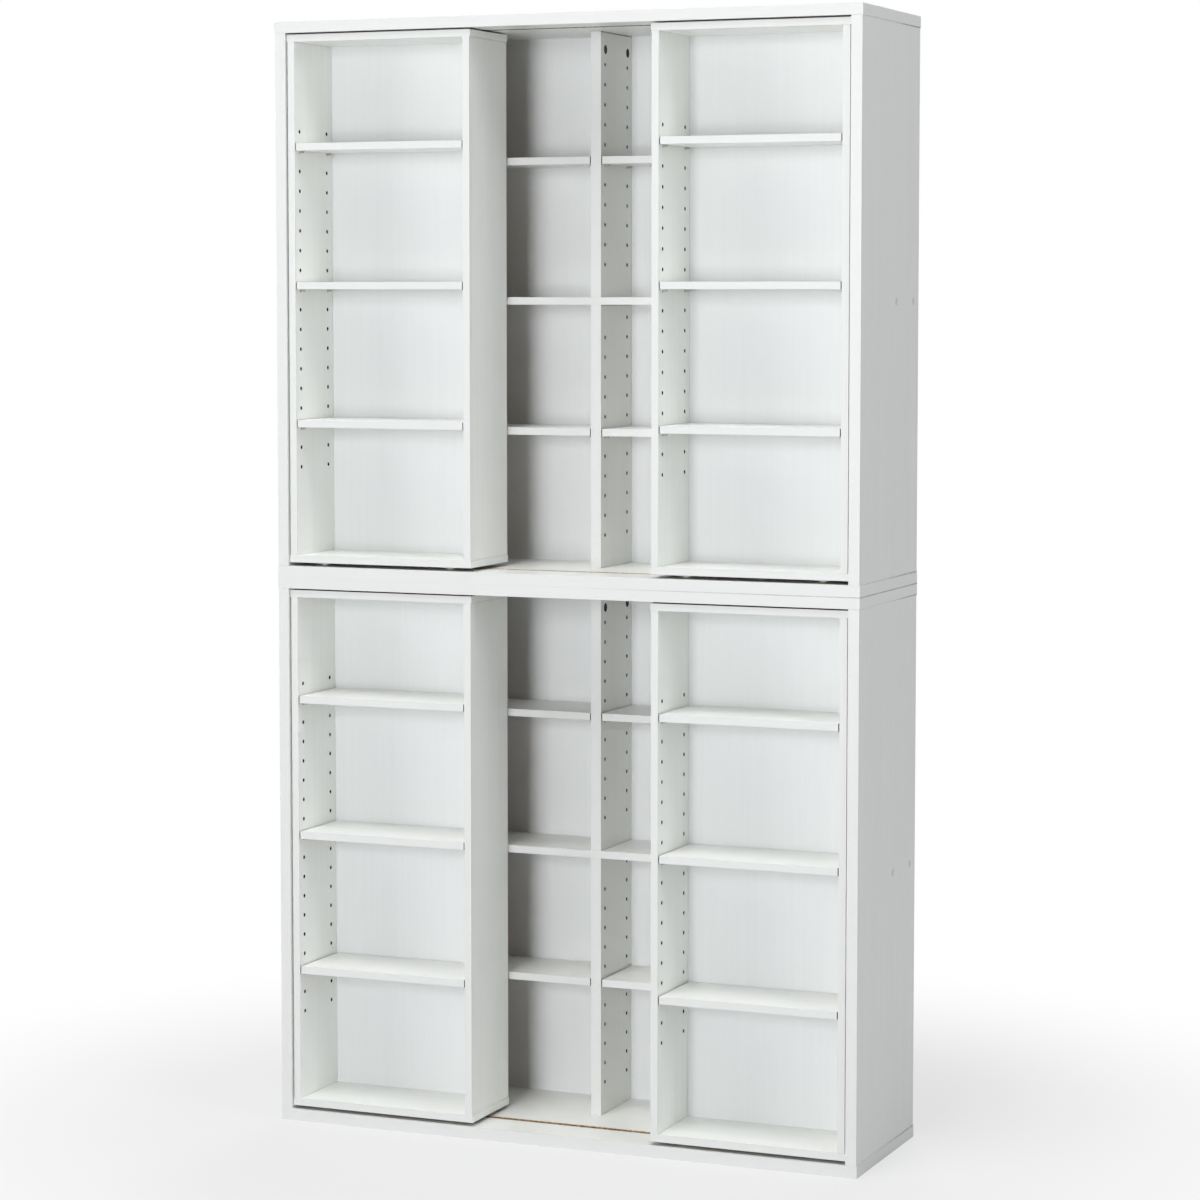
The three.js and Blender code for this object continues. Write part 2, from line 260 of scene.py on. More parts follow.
def wood_print():
    takes = [("Place", VECTOR, None), ("Stretch", VECTOR, (1.0, 1.0, 1.0))]
    gives = [("Tone", FLOAT), ("Pores", FLOAT), ("Height", FLOAT)]
    tree, given, out = new_group("Wood print", takes, gives)
    place = vector_maths(tree, "MULTIPLY", given["Place"], given["Stretch"])
    tone = patches(tree, place, **TONE)
    pores = patches(tree, place, **PORES)
    tree.links.new(tone, out["Tone"])
    tree.links.new(pores, out["Pores"])
    tree.links.new(maths(tree, "SUBTRACT", times(tree, tone, TONE_RISE), pores), out["Height"])
    return tree


WOOD_PRINT = wood_print()
print("group:", WOOD_PRINT.name)

# %% [markdown]
# ## Raw particle board
#
# Under the paper the board is pressed wood chips. They show where a tool has cut
# through: as a brown line in the running grooves, and as the dark inside of each pin
# hole. Cells of a Voronoi texture are the chips, each with its own shade of brown.
# Larger flakes, pale ones and dark ones, lie among them, and fine dust fills in between.


# %% Group: particle board
CHIPS_IN_A_METRE = 620.0
DARK_CHIP, LIGHT_CHIP = paint(132, 92, 54), paint(190, 146, 96)
PALE_FLAKE, DARK_FLAKE, GRIT = paint(228, 198, 154), paint(72, 54, 38), paint(84, 60, 40)
FLAKES = dict(scale=210.0, detail=2.0)
FINE_GRIT = dict(scale=2400.0, detail=2.0)
PALE_STEP = dict(start=0.5, end=0.62, low=0.0, high=0.75)
DARK_STEP = dict(start=0.36, end=0.47, low=0.65, high=0.0)
GRIT_STEP = dict(start=0.5, end=0.75, low=0.0, high=0.6)


def particle_board():
    gives = [("Colour", COLOUR), ("Height", FLOAT)]
    tree, given, out = new_group("Particle board", [("Place", VECTOR, None)], gives)
    place = given["Place"]
    inputs = {"Vector": place, "Scale": CHIPS_IN_A_METRE, "Randomness": 1.0}
    chips = add(tree, "ShaderNodeTexVoronoi", inputs)
    shade = add(tree, "ShaderNodeSeparateColor", {0: chips.outputs["Color"]}).outputs
    grit = noise(tree, place, **FINE_GRIT)
    flakes = noise(tree, place, **FLAKES)
    wood = blend(tree, shade[0], DARK_CHIP, LIGHT_CHIP)
    wood = blend(tree, ramp(tree, flakes, **PALE_STEP), wood, PALE_FLAKE)
    wood = blend(tree, ramp(tree, flakes, **DARK_STEP), wood, DARK_FLAKE)
    wood = blend(tree, ramp(tree, grit, **GRIT_STEP), wood, GRIT)
    tree.links.new(wood, out["Colour"])
    tree.links.new(maths(tree, "ADD", shade[1], grit), out["Height"])
    return tree


PARTICLE_BOARD = particle_board()
print("group:", PARTICLE_BOARD.name)

# %% [markdown]
# ## Handling and dust
#
# Paint and paper wear first along the edge lines, where hands and vacuum cleaners touch
# them, and dust settles only on what faces up. Both are kept faint: this is a new piece,
# and the two masks only stop its whites from looking like plastic.


# %% Groups: wear and dust
FULLY_WORN, LEAST_WORN = 0.0006, 0.0018
CATCHES_DUST = 0.7
RUBS = dict(scale=55.0, detail=6.0, roughness=0.75, start=0.5, end=0.72)
DRIFTS = dict(scale=9.0, detail=8.0, roughness=0.7, start=0.4, end=0.8, high=0.5)
SPECKS = dict(scale=900.0, detail=1.0, start=0.66, end=0.8, high=0.5)


def edge_wear():
    takes = [("Place", VECTOR, None), ("To edge line", FLOAT, 1.0)]
    tree, given, out = new_group("Edge wear", takes, [("Mask", FLOAT)])
    near = ramp(tree, given["To edge line"], FULLY_WORN, LEAST_WORN, 1.0, 0.0)
    tree.links.new(times(tree, near, patches(tree, given["Place"], **RUBS)), out["Mask"])
    return tree


def settled_dust():
    tree, given, out = new_group("Settled dust", [("Place", VECTOR, None)], [("Mask", FLOAT)])
    normal = add(tree, "ShaderNodeNewGeometry").outputs["Normal"]
    up = ramp(tree, split(tree, normal)[2], CATCHES_DUST, 1.0)
    drifts = patches(tree, given["Place"], **DRIFTS)
    specks = patches(tree, given["Place"], **SPECKS)
    tree.links.new(times(tree, up, maths(tree, "ADD", drifts, specks)), out["Mask"])
    return tree


EDGE_WEAR = edge_wear()
SETTLED_DUST = settled_dust()
print("groups:", EDGE_WEAR.name, "and", SETTLED_DUST.name)

# %% [markdown]
# ## White board, from paper to chips
#
# The whole skin of a board is one more group. It lays the wood print on the faces, a
# strip of edging on the front edge with its thin glue line, wear and dust over both, and
# raw particle board wherever a point lies deeper than the paper. Three smaller things
# make a joint believable: a grey line of painted shade where this board meets the next,
# torn paper along a sawn groove, and no paper at all where nobody looks, such as a hidden
# face or the short ends of a loose shelf. Raw board in a groove, on a hidden face, at a
# shelf's ends and in a partition's bores is darkened with painted shade, as far as each
# board asks. Pale fresh chips show only at a groove's torn rim, not on its walls. A group
# gives only colours and numbers. The shader stays in each material.

# %% Group: white board
WHOLE_SKIN, SKIN = 0.00049, 0.0007
EDGING = 0.0009
GLUE_LINE = 0.00022
LINE_CORE = 0.6
SEAM = 0.001
# Painted shade: the grey of a seam line stands for the shade in the gap where two boards meet.
SEAM_SHADE_COLOUR = paint(70, 67, 62)
# Behind the front, a seam line's painted shade deepens from its given strength to full between these
# distances.
SHADE_DEEPENS_FROM, SHADE_FULL_FROM = 0.1, 0.29
# On front edges the painted shade line is left out towards the left and kept at half strength towards the
# right.
FRONT_SEAM, FRONT_SEAM_STARTS, FRONT_SEAM_FULL = 0.5, -0.15, 0.5
SEAM_PATCHES = dict(scale=30.0, detail=3.0, start=0.3, end=0.7, low=0.6)
UPRIGHT = 0.75
GROOVE_HALF, GROOVE_END = 0.0045, 0.481
WALL_PLAY = 0.00005
TEARS = dict(scale=260.0, detail=4.0, roughness=0.75, start=0.38, end=0.62, low=0.0003, high=0.0038)
# Painted shade on raw board: how far it is darkened towards a near black, in a groove's walls and on hidden
# faces, loose shelf ends and partition bores.
GROOVE_PAINTED_SHADE, HIDDEN_PAINTED_SHADE = 0.3, 0.85
RAW_SHADE_COLOUR, FRESH_CHIPS, FRESH_SHARE = paint(44, 42, 38), paint(222, 198, 164), 0.55
RAW_RELIEF = 4.0
SATIN, RAW_ADDS, PORES_ADD, DUST_ADDS = 0.36, 0.5, 0.12, 0.15
NOWHERE = 100.0
OVER_PAPER = {
    "tone": (0.12, paint(212, 214, 211)),
    "pores": (0.12, paint(212, 214, 211)),
    "glue": (0.35, paint(168, 160, 148)),
    "wear": (0.25, paint(196, 192, 184)),
    "dust": (0.1, paint(190, 186, 178)),
}


def paper_skin(tree, given, grain, worn, dusty, behind, on_edge):
    """The colour of face and edging, with the print, the glue line, wear and dust over it."""
    off_line = maths(tree, "ABSOLUTE", maths(tree, "SUBTRACT", behind, EDGING))
    glue = ramp(tree, off_line, GLUE_LINE * LINE_CORE, GLUE_LINE, 1.0, 0.0)
    masks = {"tone": grain["Tone"], "pores": grain["Pores"], "glue": glue, "wear": worn, "dust": dusty}
    skin = blend(tree, on_edge, given["Face"], given["Edge"])
    for layer, mask in masks.items():
        share, colour = OVER_PAPER[layer]
        skin = blend(tree, times(tree, mask, share), skin, colour)
    return skin


def shade_line_at_end(tree, distance, width, strength, behind):
    """A thin line of painted shade at a board's end: of the given strength in front, and full towards the
    rear, where the gap's shade deepens.
    """
    line = ramp(tree, distance, times(tree, width, LINE_CORE), width, 1.0, 0.0)
    deepening = ramp(tree, behind, SHADE_DEEPENS_FROM, SHADE_FULL_FROM, strength, 1.0)
    there = maths(tree, "GREATER_THAN", strength, 0.0)
    return times(tree, line, deepening, there)


def shade_lines_at_ends(tree, given, behind, above_foot, to_head, on_edge):
    """The painted shade lines at both ends of a board. On front edges they show only towards the right."""
    foot = shade_line_at_end(tree, above_foot, given["Seam width"], given["Foot seam"], behind)
    head = shade_line_at_end(tree, to_head, given["Seam width"], given["Head seam"], behind)
    sideways = split(tree, given["Place"])[0]
    front_fade = ramp(tree, sideways, FRONT_SEAM_STARTS, FRONT_SEAM_FULL, 1.0, 1.0 - FRONT_SEAM)
    off_front = maths(tree, "SUBTRACT", 1.0, times(tree, on_edge, front_fade))
    normal = add(tree, "ShaderNodeNewGeometry").outputs["Normal"]
    leaning = maths(tree, "ABSOLUTE", split(tree, normal)[2])
    upright = maths(tree, "LESS_THAN", leaning, UPRIGHT)
    patchy = patches(tree, given["Place"], **SEAM_PATCHES)
    return times(tree, most(tree, foot, head), upright, off_front, patchy)


def torn_paper(tree, place, groove_middle):
    """Where a groove took the paper away, its walls included, and the torn rim alone."""
    from_middle = vector_maths(tree, "SUBTRACT", place, groove_middle)
    along, across, up = split(tree, vector_maths(tree, "ABSOLUTE", from_middle))
    reach = maths(tree, "ADD", GROOVE_HALF, patches(tree, place, **TEARS))
    in_reach = maths(tree, "LESS_THAN", across, reach)
    on_face = maths(tree, "LESS_THAN", up, SKIN)
    in_groove = maths(tree, "LESS_THAN", along, GROOVE_END)
    torn = times(tree, in_reach, on_face, in_groove)
    off_wall = maths(tree, "GREATER_THAN", across, GROOVE_HALF + WALL_PLAY)
    return torn, times(tree, torn, off_wall)


def bare_faces(tree, given, from_left, from_right):
    """1 on a face that never had paper: an underside, an upper side or a short end."""
    height = split(tree, given["Place"])[2]
    below = maths(tree, "LESS_THAN", height, given["Bare below"])
    above = maths(tree, "GREATER_THAN", height, given["Bare above"])
    to_end = maths(tree, "MINIMUM", from_left, from_right)
    return most(tree, below, above, maths(tree, "LESS_THAN", to_end, given["Bare ends"]))


def white_board():
    takes = [
        ("Place", VECTOR, None),
        ("Low corner", VECTOR, None),
        ("High corner", VECTOR, None),
        ("Stretch", VECTOR, (1.0, 1.0, 1.0)),
        # The face is lighter and the edging darker than one white paper would be: painted light on the
        # shaded inner faces, painted shade on the front edges that the main box lights most.
        ("Face", COLOUR, paint(246, 247, 243)),
        ("Edge", COLOUR, paint(212, 213, 213)),
        ("Foot seam", FLOAT, 0.0),
        ("Head seam", FLOAT, 0.0),
        ("Seam width", FLOAT, SEAM),
        ("Groove middle", VECTOR, (NOWHERE, NOWHERE, NOWHERE)),
        ("Bare below", FLOAT, -NOWHERE),
        ("Bare above", FLOAT, NOWHERE),
        ("Bare ends", FLOAT, -NOWHERE),
        ("Raw shade", FLOAT, 0.0),
    ]
    gives = [("Colour", COLOUR), ("Roughness", FLOAT), ("Height", FLOAT)]
    tree, given, out = new_group("White board", takes, gives)
    place, low, high = given["Place"], given["Low corner"], given["High corner"]
    from_left, behind, above_foot = split(tree, vector_maths(tree, "SUBTRACT", place, low))
    from_right, _, to_head = split(tree, vector_maths(tree, "SUBTRACT", high, place))
    where = from_group(tree, PLACE_ON_BOARD, Place=place, Low_corner=low, High_corner=high)
    grain = from_group(tree, WOOD_PRINT, Place=place, Stretch=given["Stretch"])
    worn = from_group(tree, EDGE_WEAR, Place=place, To_edge_line=where["To edge line"])["Mask"]
    dusty = from_group(tree, SETTLED_DUST, Place=place)["Mask"]
    raw = from_group(tree, PARTICLE_BOARD, Place=place)

    on_edge = ramp(tree, behind, WHOLE_SKIN, SKIN, 1.0, 0.0)
    skin = paper_skin(tree, given, grain, worn, dusty, behind, on_edge)
    # Painted shade along the seams at the board's two ends.
    painted_seam_shade = shade_lines_at_ends(tree, given, behind, above_foot, to_head, on_edge)
    skin = blend(tree, painted_seam_shade, skin, SEAM_SHADE_COLOUR)

    torn, rim = torn_paper(tree, place, given["Groove middle"])
    # Painted shade: the raw board darkened by the amount that the board gives.
    chips = blend(tree, given["Raw shade"], raw["Colour"], RAW_SHADE_COLOUR)
    fresh = ramp(tree, given["Raw shade"], GROOVE_PAINTED_SHADE, HIDDEN_PAINTED_SHADE, FRESH_SHARE, 0.0)
    chips = blend(tree, times(tree, rim, fresh), chips, FRESH_CHIPS)
    deep = ramp(tree, where["Depth"], WHOLE_SKIN, SKIN)
    cut = most(tree, deep, torn, bare_faces(tree, given, from_left, from_right))
    tree.links.new(blend(tree, cut, skin, chips), out["Colour"])

    rough = maths(tree, "ADD", SATIN, times(tree, grain["Pores"], PORES_ADD))
    rough = maths(tree, "ADD", rough, times(tree, dusty, DUST_ADDS))
    rough = maths(tree, "ADD", rough, times(tree, cut, RAW_ADDS), clamp=True)
    tree.links.new(rough, out["Roughness"])
    printed = times(tree, grain["Height"], maths(tree, "SUBTRACT", 1.0, cut))
    chipped = times(tree, cut, RAW_RELIEF, raw["Height"])
    tree.links.new(maths(tree, "ADD", printed, chipped), out["Height"])
    return tree


WHITE_BOARD = white_board()
print("group:", WHITE_BOARD.name)

# %% [markdown]
# ## One material for each board
#
# The print runs along a board's length: sideways on tops, bases and shelves, upwards on
# sides and partitions. Each board hands its own two corners to the shared group, so the
# edging, the wear and the raw cuts fall in the right place. The base and the top of a
# case also say where their running groove is, and the top and base of a rack which of
# their faces has no paper: in the narrow gaps above and below a rack that raw face,
# darkened with painted shade, is what makes the gap read as dark. The bare ends of a
# loose shelf do the same beside the sides. Each board names how strong the painted shade
# lines at its two ends are. The line between the two stacked units is dark all along, at
# a dowelled joint the painted shade is faint in front and deepens a little towards the
# rear, and the head of a partition has a wide dark one. The height goes to a bump of a
# few hundredths of a millimetre, which is what the pressed pores have.

# %% Board materials
LONG_GRAIN, CROSS_GRAIN = 2.2, 130.0
ALONG_X = (LONG_GRAIN, CROSS_GRAIN, CROSS_GRAIN)
ALONG_Z = (CROSS_GRAIN, CROSS_GRAIN, LONG_GRAIN)
PORE_DEPTH = 0.00004
BUMP_STRENGTH = 0.35
THIN_BOARD = 0.012
PIN_REACH = 0.0085
GROOVE_MIDDLE = -0.070
PAPER = 0.0003
# Front strengths of the painted shade lines at board ends. Towards the rear they deepen to full.
CASE_SEAM_SHADE, RACK_SEAM_SHADE, STACK_SEAM_SHADE = 0.1, 0.18, 0.9
PARTITION_SEAM_SHADES = {"Foot_seam": 0.2, "Head_seam": 0.9, "Seam_width": 0.002}
HIDDEN_RAW_SHADED = {"Raw_shade": HIDDEN_PAINTED_SHADE}


def object_place(tree):
    return add(tree, "ShaderNodeTexCoord").outputs["Object"]


def finish_surface(tree, colour, roughness, height, depth, **fixed):
    """The shader of a material: fixed values go on its own sockets."""
    shader = add(tree, "ShaderNodeBsdfPrincipled", fixed)
    tree.links.new(colour, shader.inputs["Base Color"])
    tree.links.new(roughness, shader.inputs["Roughness"])
    bump = add(tree, "ShaderNodeBump", {"Height": height, "Distance": depth, "Strength": BUMP_STRENGTH})
    tree.links.new(bump.outputs[0], shader.inputs["Normal"])
    add(tree, "ShaderNodeOutputMaterial", {"Surface": shader.outputs[0]})


def new_material(name):
    material = bpy.data.materials.new(name)
    material.use_nodes = True
    material.node_tree.nodes.clear()
    return material, material.node_tree


def is_standing(name):
    return name.endswith("_side") or "_partition_" in name


def board_material(name, low, high, **special):
    material, tree = new_material("white_" + name)
    stretch = ALONG_Z if is_standing(name) else ALONG_X
    corners = {"Low_corner": tuple(low), "High_corner": tuple(high)}
    skin = from_group(tree, WHITE_BOARD, Place=object_place(tree), Stretch=stretch, **corners, **special)
    finish_surface(tree, skin["Colour"], skin["Roughness"], skin["Height"], PORE_DEPTH)
    return material


def board_box(name):
    """The corners of the board alone, without the pins that the CAD joins to some boards."""
    low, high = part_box(name)
    if "_rear_shelf_" in name or "_rack_shelf_" in name:
        low = Vector((low.x + PIN_REACH, low.y, high.z - THIN_BOARD))
        high = Vector((high.x - PIN_REACH, high.y, high.z))
    elif name.endswith("_rack_top_board"):
        high = Vector((high.x, high.y, low.z + THIN_BOARD))
    return low, high


def special_parts(name, low, high):
    """What only some boards have: painted shade lines at their ends, a running groove, a face without
    paper, and painted shade on their raw board.
    """
    if name.endswith("_fixed_shelf"):
        return {}
    if "shelf" in name:
        return {**HIDDEN_RAW_SHADED, "Bare_ends": PAPER}
    if "_partition_" in name:
        return {**HIDDEN_RAW_SHADED, **PARTITION_SEAM_SHADES}
    end_shade = RACK_SEAM_SHADE if "_rack_" in name else CASE_SEAM_SHADE
    special = {"Foot_seam": end_shade, "Head_seam": end_shade}
    if name.endswith("_case_top_board"):
        special["Head_seam"] = STACK_SEAM_SHADE if name.startswith("lower") else 0.0
        special.update(HIDDEN_RAW_SHADED, Groove_middle=(0.0, GROOVE_MIDDLE, low.z))
    if name.endswith("_case_base_board"):
        special["Foot_seam"] = STACK_SEAM_SHADE if name.startswith("upper") else 0.0
        special.update(Raw_shade=GROOVE_PAINTED_SHADE, Groove_middle=(0.0, GROOVE_MIDDLE, high.z))
    if name.endswith("_rack_base_board"):
        special.update(HIDDEN_RAW_SHADED, Bare_below=low.z + PAPER)
    if name.endswith("_rack_top_board"):
        special.update(HIDDEN_RAW_SHADED, Bare_above=high.z - PAPER)
    return special


boards = [n for n in frame["nodes"] if not n.endswith(("_back_panel", "_glide_frame"))]
for name in boards:
    low, high = board_box(name)
    material = board_material(name, low, high, **special_parts(name, low, high))
    frame["nodes"][name].data.materials[0] = material
print(len(boards), "boards, of them", sum(map(is_standing, boards)), "standing")

# %% [markdown]
# ## Back panels
#
# A back panel is three millimetres of pressed fibre, with white printed paper on the
# side that shows and nothing on the other. The bare side is brown, with the mesh
# mark of the press. It matters also from the front: it faces the rear layer from behind
# each rack, and gives the shadows there their warm tint.


# %% Back panel material
FLECKS = dict(scale=160.0, detail=6.0, roughness=0.7, start=0.35, end=0.7)
MESH_SCALE = 110.0
MESH_SHADE, MESH_SHARE, MESH_RELIEF = paint(104, 76, 48), 0.25, 3.0
# One paper on all panels. The case's panels get it a shade lighter: painted light on the case's rear, which
# lies deeper in shade.
RACK_PAPER = (paint(217, 220, 221), paint(207, 211, 213))
CASE_PAPER = (paint(226, 229, 230), paint(216, 220, 222))
RACK_FIBRE = (paint(196, 134, 68), paint(172, 112, 54))
CASE_FIBRE = (paint(156, 122, 86), paint(136, 104, 72))
PANEL_TONE, PANEL_PORES, PORE_GREY = 0.2, 0.08, paint(198, 201, 205)
PRINTED_ROUGHNESS, BARE_ROUGHNESS = 0.42, 0.78


def bare_fibre(tree, place, light, dark):
    """Colour and height of the panel's bare side."""
    brown = blend(tree, patches(tree, place, **FLECKS), light, dark)
    inputs = {"Vector": place, "Scale": MESH_SCALE}
    wires = [add(tree, "ShaderNodeTexWave", inputs, bands_direction=way) for way in ("X", "Z")]
    mesh_mark = times(tree, *(wire.outputs[1] for wire in wires))
    return blend(tree, times(tree, mesh_mark, MESH_SHARE), brown, MESH_SHADE), mesh_mark


def panel_material(name, middle, light, dark, fibre):
    """middle is the Y that parts the printed side from the bare one."""
    material, tree = new_material(name)
    place = object_place(tree)
    grain = from_group(tree, WOOD_PRINT, Place=place, Stretch=ALONG_Z)
    paper = blend(tree, times(tree, grain["Tone"], PANEL_TONE), light, dark)
    paper = blend(tree, times(tree, grain["Pores"], PANEL_PORES), paper, PORE_GREY)
    brown, mesh_mark = bare_fibre(tree, place, *fibre)
    bare = maths(tree, "GREATER_THAN", split(tree, place)[1], middle)
    colour = blend(tree, bare, paper, brown)
    roughness = ramp(tree, bare, 0.0, 1.0, PRINTED_ROUGHNESS, BARE_ROUGHNESS)
    printed = times(tree, grain["Height"], maths(tree, "SUBTRACT", 1.0, bare))
    height = maths(tree, "ADD", printed, times(tree, mesh_mark, bare, MESH_RELIEF))
    finish_surface(tree, colour, roughness, height, PORE_DEPTH)
    return material


panels = [n for n in frame["nodes"] if n.endswith("_back_panel")]
for name in panels:
    low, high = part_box(name)
    paper, fibre = (CASE_PAPER, CASE_FIBRE) if "_case_" in name else (RACK_PAPER, RACK_FIBRE)
    panel = panel_material("panel_" + name, (low.y + high.y) / 2, *paper, fibre)
    frame["nodes"][name].data.materials[0] = panel
print(len(panels), "back panels")

# %% [markdown]
# ## Nylon, steel and caps
#
# The glides under the racks are moulded nylon: a milky white with a fine spark-eroded
# texture. The shelf pins and screws are nickelled steel, and the cam locks cast zinc,
# darkened further with painted shade for the deep bores they sit in. A metal has little
# colour of its own, so its life comes from small changes in roughness and from fine marks.


# %% Small materials
PLASTIC_CLOUDS = dict(scale=70.0, detail=5.0, roughness=0.6, start=0.35, end=0.7)
METAL_CLOUDS = dict(scale=240.0, detail=6.0, roughness=0.7, start=0.3, end=0.7)
MARKS = dict(scale=1600.0, detail=3.0)
MARKS_RANGE = (0.25, 0.75)
SPARK_DETAIL = 2.0
SPARK_RANGE = (0.2, 0.8)
SPARK_SPREAD = 0.08
MARKS_SMOOTHER, MARKS_ROUGHER = 0.1, 0.12
MARK_DEPTH = PORE_DEPTH / 2
CHIP_DEPTH = PORE_DEPTH * 4
# Painted shade inside a drilled hole: a near black laid over the raw board.
HOLE_SHADE = paint(14, 11, 9)
HOLE_PATCHES = dict(scale=500.0, detail=3.0, start=0.2, end=0.8)
LEAST_HOLE_SHADE = 0.9
HOLE_SMOOTHEST, HOLE_ROUGHEST = 0.8, 0.95
NYLON_TONES = (paint(224, 224, 216), paint(208, 208, 198))
CAP_TONES = (paint(226, 228, 227), paint(214, 216, 214))
# Painted shade: the dark of a slot's hollow, laid on a thin cross over the head.
SLOT_SHADE_TONES = (paint(46, 44, 42), paint(34, 32, 30))
NICKEL_TONES = (paint(206, 202, 194), paint(168, 164, 156))
# Cast zinc darkened with painted shade, because the cams sit deep in their bores.
CAM_TONES_WITH_BORE_SHADE = (paint(72, 70, 68), paint(48, 47, 46))


def moulded(name, light, dark, spark_scale, roughness):
    """Plastic with a faint cloud of colour and the fine texture of its mould."""
    material, tree = new_material(name)
    place = object_place(tree)
    cloud = patches(tree, place, **PLASTIC_CLOUDS)
    spark = noise(tree, place, spark_scale, SPARK_DETAIL)
    rough = ramp(tree, spark, *SPARK_RANGE, roughness - SPARK_SPREAD, roughness + SPARK_SPREAD)
    finish_surface(tree, blend(tree, cloud, light, dark), rough, spark, PORE_DEPTH)
    return material


def metal(name, light, dark, roughness):
    """Metal with a slow change of tone, and fine marks that break up its sheen."""
    material, tree = new_material(name)
    place = object_place(tree)
    cloud = patches(tree, place, **METAL_CLOUDS)
    marks = noise(tree, place, **MARKS)
    rough = ramp(tree, marks, *MARKS_RANGE, roughness - MARKS_SMOOTHER, roughness + MARKS_ROUGHER)
    finish_surface(tree, blend(tree, cloud, light, dark), rough, marks, MARK_DEPTH, Metallic=1.0)
    return material


def drilled_wall(name):
    """Raw board inside a drilled hole, darkened nearly to black with painted shade."""
    material, tree = new_material(name)
    place = object_place(tree)
    raw = from_group(tree, PARTICLE_BOARD, Place=place)
    colour = blend(tree, patches(tree, place, low=LEAST_HOLE_SHADE, **HOLE_PATCHES), raw["Colour"], HOLE_SHADE)
    rough = patches(tree, place, low=HOLE_SMOOTHEST, high=HOLE_ROUGHEST, **HOLE_PATCHES)
    finish_surface(tree, colour, rough, raw["Height"], CHIP_DEPTH)
    return material


NYLON = moulded("milky_nylon", *NYLON_TONES, spark_scale=1800.0, roughness=0.45)
CAP_PLASTIC = moulded("white_cap_plastic", *CAP_TONES, spark_scale=2200.0, roughness=0.4)
# A thin dark cross of painted shade stands for a slot's hollow.
SLOT_SHADE = moulded("painted_slot_shade", *SLOT_SHADE_TONES, spark_scale=900.0, roughness=0.7)
NICKEL = metal("nickelled_steel", *NICKEL_TONES, roughness=0.28)
# The cams' zinc carries painted shade of their bores.
CAM_METAL_WITH_BORE_SHADE = metal("cast_zinc_and_bore_shade", *CAM_TONES_WITH_BORE_SHADE, roughness=0.5)
DRILLED = drilled_wall("drilled_particle_board")

for name in frame["nodes"]:
    if name.endswith("_glide_frame"):
        frame["nodes"][name].data.materials[0] = NYLON
print("small materials:", [m.name for m in (NYLON, CAP_PLASTIC, SLOT_SHADE, NICKEL, CAM_METAL_WITH_BORE_SHADE, DRILLED)])

# %% [markdown]
# ## Soft edge lines on the CAD boards
#
# No sawn and edged board has a knife-sharp arris. The edging is scraped to a radius of a
# few tenths of a millimetre, and that small round is what catches the light along every
# edge. The CAD meshes stay as they are: a weld joins their loose triangles and a bevel
# rounds what is sharper than thirty degrees, both as modifiers.

# %% Round the arrises
ARRIS_RADIUS = 0.0004
ARRIS_STEPS = 2
WELD_REACH = 0.000005
SHARP = math.radians(30)


def round_arrises(piece):
    weld = piece.modifiers.new("join the triangles", "WELD")
    weld.merge_threshold = WELD_REACH
    bevel = piece.modifiers.new("scraped edge", "BEVEL")
    bevel.width = ARRIS_RADIUS
    bevel.segments = ARRIS_STEPS
    bevel.limit_method = "ANGLE"
    bevel.angle_limit = SHARP
    bevel.use_clamp_overlap = True


for name in boards:
    round_arrises(frame["nodes"][name])
print("rounded", len(boards), "boards by", ARRIS_RADIUS * 1000, "mm")

# %% [markdown]
# ## Small parts that repeat
#
# Holes, pins, caps and screws repeat by the hundred. Each kind is one Geometry Nodes
# tree: it takes points that carry the direction they face, sets one small shape on every
# point, realizes the copies and gives them their materials. The result is turned into a
# plain mesh for the body it rides on.


# %% Geometry Nodes helpers
def new_tree(name, sizes):
    """A geometry tree whose inputs are the points and these sizes (name, value)."""
    tree = bpy.data.node_groups.new(name, "GeometryNodeTree")
    tree.interface.new_socket(name="Points", in_out="INPUT", socket_type="NodeSocketGeometry")
    for size_name, value in sizes:
        kind = "NodeSocketInt" if isinstance(value, int) else "NodeSocketFloat"
        made = tree.interface.new_socket(name=size_name, in_out="INPUT", socket_type=kind)
        made.default_value = value
    tree.interface.new_socket(name="Pieces", in_out="OUTPUT", socket_type="NodeSocketGeometry")
    return tree, add(tree, "NodeGroupInput").outputs, add(tree, "NodeGroupOutput").inputs


def moved_up(tree, shape, height):
    place = add(tree, "ShaderNodeCombineXYZ", {2: height}).outputs[0]
    return add(tree, "GeometryNodeTransform", {"Geometry": shape, "Translation": place}).outputs[0]


def disc(tree, sides, radius, top_radius, height, foot=0.0, fill="NGON"):
    """A disc from radius up to top_radius, standing at the height foot. Filled with NONE it
    is a sloping ring, without floor or lid."""
    inputs = {"Vertices": sides, "Radius Top": top_radius, "Radius Bottom": radius, "Depth": height}
    shape = add(tree, "GeometryNodeMeshCone", inputs, fill_type=fill).outputs[0]
    return moved_up(tree, shape, foot)


def marked(tree, shape, mark):
    """Keeps a yes or no on the faces, which the materials read at the end."""
    inputs = {"Geometry": shape, "Name": mark, "Value": True}
    node = add(tree, "GeometryNodeStoreNamedAttribute", inputs, data_type="BOOLEAN", domain="FACE")
    return node.outputs[0]


def set_on_points(tree, points, shape):
    """One copy of the shape on every point, its Z axis along the point's facing."""
    facing = add(tree, "GeometryNodeInputNamedAttribute", {"Name": "facing"}, data_type="FLOAT_VECTOR")
    turn = add(tree, "FunctionNodeAlignRotationToVector", {"Vector": facing.outputs[0]}, axis="Z")
    inputs = {"Points": points, "Instance": shape, "Rotation": turn.outputs[0]}
    copies = add(tree, "GeometryNodeInstanceOnPoints", inputs).outputs[0]
    return add(tree, "GeometryNodeRealizeInstances", {"Geometry": copies}).outputs[0]


